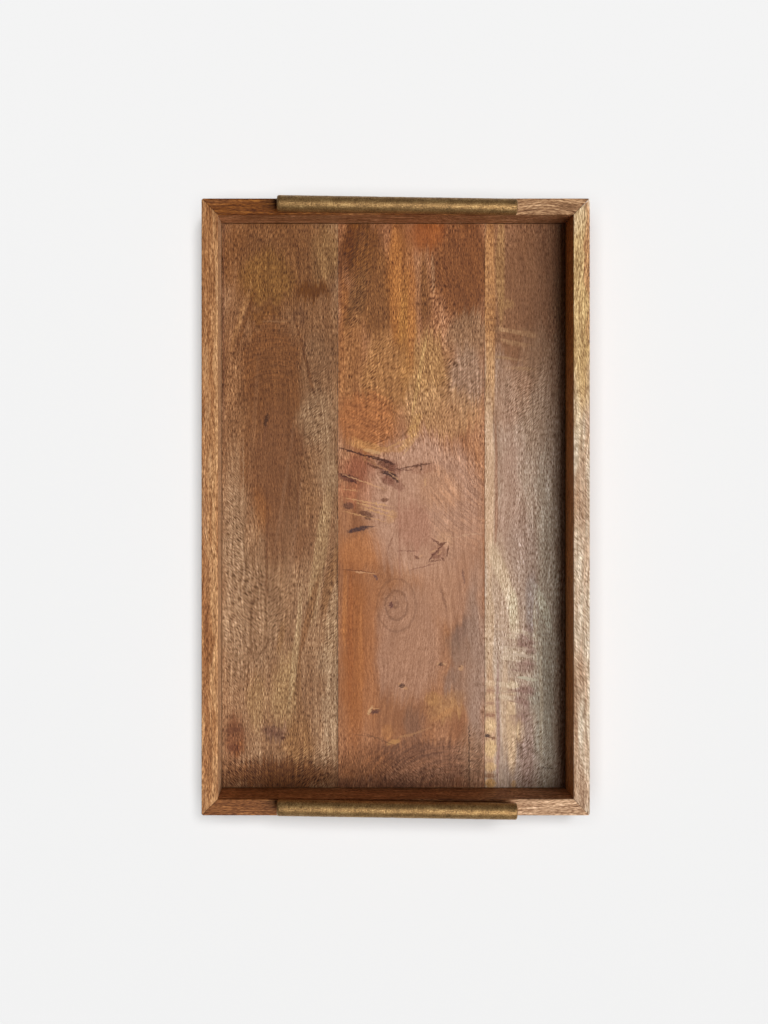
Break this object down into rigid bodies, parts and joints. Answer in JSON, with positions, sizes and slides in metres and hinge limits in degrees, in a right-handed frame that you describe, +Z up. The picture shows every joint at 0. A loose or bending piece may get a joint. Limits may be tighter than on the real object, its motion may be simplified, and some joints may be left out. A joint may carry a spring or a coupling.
{
  "type": "serving tray",
  "caption": "Rectangular wooden serving tray with mitred rails, a captured board base and round brass bar handles standing on the short rails.",
  "frame": {"origin": "middle of the footprint, in the plane of the rails' undersides", "axes": "+X across the tray, +Y along its length towards the back short rail, +Z up out of the tray"},
  "size_m": [0.381, 0.606, 0.0792],
  "materials": {
    "rail_wood": "oiled, satin",
    "left_board_wood": "oiled, satin",
    "middle_board_wood": "oiled, satin",
    "right_board_wood": "oiled, satin",
    "spline_wood": "bare",
    "handle_brass": "cast, antique",
    "stud_steel": "plain"
  },
  "bodies": {
    "root": {"rail_left": "rail_wood", "rail_right": "rail_wood", "rail_front": "rail_wood", "rail_back": "rail_wood", "base_left": "left_board_wood", "base_middle": "middle_board_wood", "base_right": "right_board_wood", "spline_back_left": "spline_wood", "spline_back_right": "spline_wood", "spline_front_left": "spline_wood", "spline_front_right": "spline_wood", "bar_back": "handle_brass", "bar_front": "handle_brass", "post_back_left": "handle_brass", "post_back_right": "handle_brass", "post_front_left": "handle_brass", "post_front_right": "handle_brass", "stud_back_left": "stud_steel", "stud_back_right": "stud_steel", "stud_front_left": "stud_steel", "stud_front_right": "stud_steel"}
  },
  "joints": []
}
